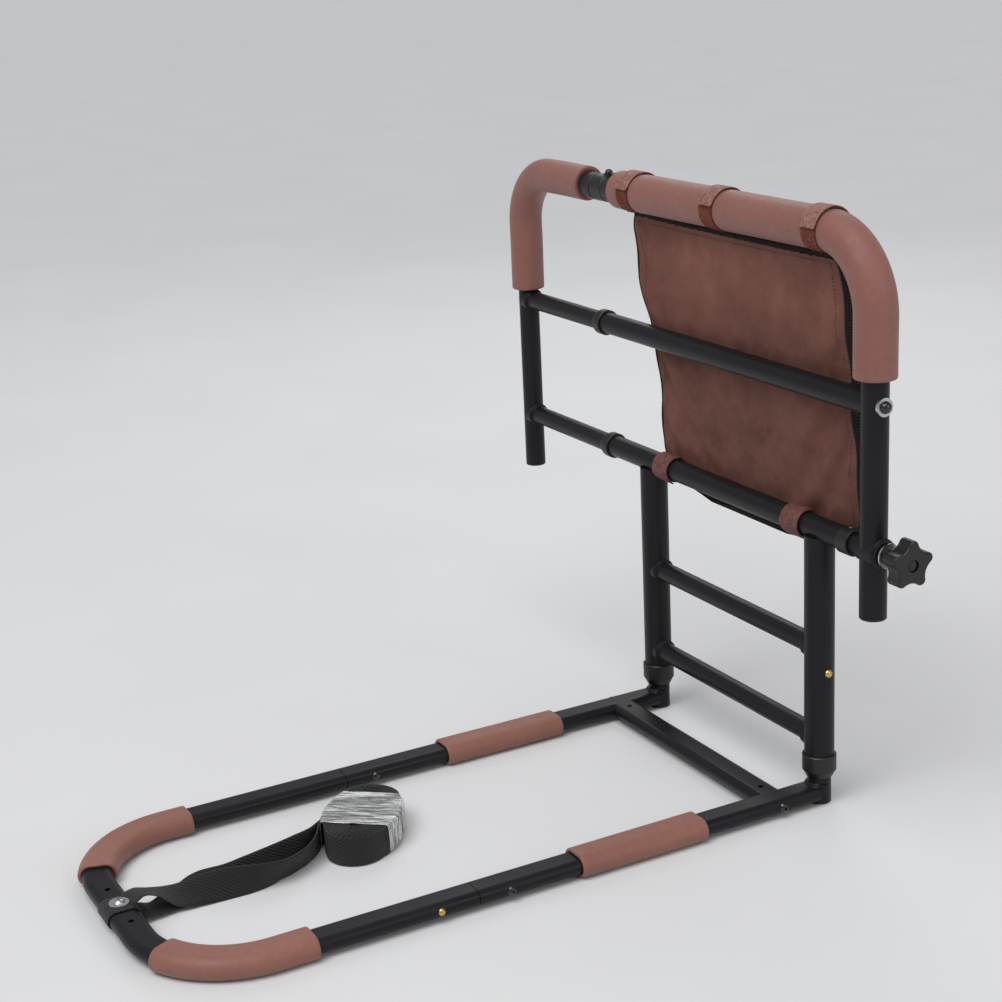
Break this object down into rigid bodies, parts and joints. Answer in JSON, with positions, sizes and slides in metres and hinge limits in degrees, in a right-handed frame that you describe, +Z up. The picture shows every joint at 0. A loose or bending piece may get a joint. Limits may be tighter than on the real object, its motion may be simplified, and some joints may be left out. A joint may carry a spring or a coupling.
{
  "type": "bed rail",
  "caption": "Folding bed side rail with a foam-padded telescoping handrail, a hanging pocket, a lock knob, and a flat base loop that slides under the mattress.",
  "frame": {"origin": "on the floor, under the middle of the object's box", "axes": "+X along the handrail towards the lock knob, +Y from the base loop towards the bag side, +Z up"},
  "size_m": [0.7682, 0.7846, 0.6403],
  "materials": {
    "black_steel": "satin black powder coat",
    "foam": "matte skinned brown foam",
    "black_plastic": "moulded, lightly grained",
    "knob_plastic": "moulded, lightly grained",
    "black_screw": "glossy black",
    "brass": "plain turned",
    "zinc_steel": "zinc plated",
    "bag_fabric": "coated woven cloth",
    "strap_fabric": "hook and loop tape",
    "webbing": "ribbed woven webbing",
    "clear_film": "clear wrinkled film"
  },
  "bodies": {
    "base": {"upright_near": "black_steel", "upright_far": "black_steel", "rung_lower": "black_steel", "rung_upper": "black_steel", "pivot_sleeve": "black_steel", "sleeve_collar_far": "black_plastic", "sleeve_collar_near": "black_plastic", "sleeve_collar_screw": "black_screw", "sleeve_lock_nut": "black_steel", "leg_bushes": "black_plastic", "leg_stub_plugs": "black_plastic", "arm_spigots": "black_steel", "rear_arm_near": "black_steel", "rear_arm_far": "black_steel", "corner_foam_near": "foam", "corner_foam_far": "foam", "mid_foam_near": "foam", "mid_foam_far": "foam", "leg_button_spring_near": "zinc_steel", "leg_button_spring_far": "zinc_steel", "arm_button_spring_near": "zinc_steel", "arm_button_spring_far": "zinc_steel", "crossbar": "black_steel", "crossbar_inserts": "black_plastic", "crossbar_screws": "black_screw", "spigot_screws": "black_screw", "front_loop": "black_steel", "webbing_loop": "webbing", "webbing_washer": "zinc_steel", "webbing_screw": "zinc_steel", "webbing_lead": "webbing", "webbing_coil": "webbing", "coil_film": "clear_film"},
    "handrail": {"grip_tube": "black_steel", "grip_foam_near": "foam", "grip_tube_plug": "black_plastic", "middle_bar": "black_steel", "middle_bar_insert": "black_plastic", "middle_bar_bolt": "black_screw", "middle_bar_washer": "zinc_steel", "middle_bar_collar": "black_plastic", "top_bush_cap": "black_plastic", "top_bush_ring": "black_plastic", "storage_bag": "bag_fabric", "top_straps": "strap_fabric", "lower_straps": "strap_fabric"},
    "far_half": {"slide_tube": "black_steel", "slide_bar_middle": "black_steel", "slide_bar_lower": "black_steel", "grip_foam_far": "foam", "slide_tube_plug": "black_plastic"},
    "knob": {"lock_knob": "knob_plastic", "lock_knob_stud": "zinc_steel", "lock_knob_washer": "zinc_steel"},
    "width_button": {"width_lock_button": "black_screw"},
    "snap_leg_near": {"leg_button_near": "brass"},
    "snap_leg_far": {"leg_button_far": "brass"},
    "snap_arm_near": {"arm_button_near": "brass"},
    "snap_arm_far": {"arm_button_far": "brass"}
  },
  "joints": [
    {"name": "handrail_fold", "type": "hinge", "parent": "base", "child": "handrail", "pos_m": [0.07885, 0.35235, 0.307], "axis": [-1, 0, 0], "range_deg": [0, 150]},
    {"name": "width_slide", "type": "slide", "parent": "handrail", "child": "far_half", "axis": [-1, 0, 0], "range_m": [0, 0.12]},
    {"name": "knob_turn", "type": "hinge", "parent": "handrail", "child": "knob", "pos_m": [0.36565, 0.35235, 0.307], "axis": [1, 0, 0], "range_deg": [0, 720]},
    {"name": "width_button_press", "type": "slide", "parent": "handrail", "child": "width_button", "axis": [0, 0, -1], "range_m": [0, 0.0025], "stiffness_N_per_m": 800},
    {"name": "leg_button_near_press", "type": "slide", "parent": "base", "child": "snap_leg_near", "axis": [-1, 0, 0], "range_m": [0, 0.0045], "stiffness_N_per_m": 800, "deforming": ["leg_button_spring_near"]},
    {"name": "arm_button_near_press", "type": "slide", "parent": "base", "child": "snap_arm_near", "axis": [-1, 0, 0], "range_m": [0, 0.004], "stiffness_N_per_m": 800, "deforming": ["arm_button_spring_near"]},
    {"name": "leg_button_far_press", "type": "slide", "parent": "base", "child": "snap_leg_far", "axis": [1, 0, 0], "range_m": [0, 0.0045], "stiffness_N_per_m": 800, "deforming": ["leg_button_spring_far"]},
    {"name": "arm_button_far_press", "type": "slide", "parent": "base", "child": "snap_arm_far", "axis": [1, 0, 0], "range_m": [0, 0.004], "stiffness_N_per_m": 800, "deforming": ["arm_button_spring_far"]}
  ]
}
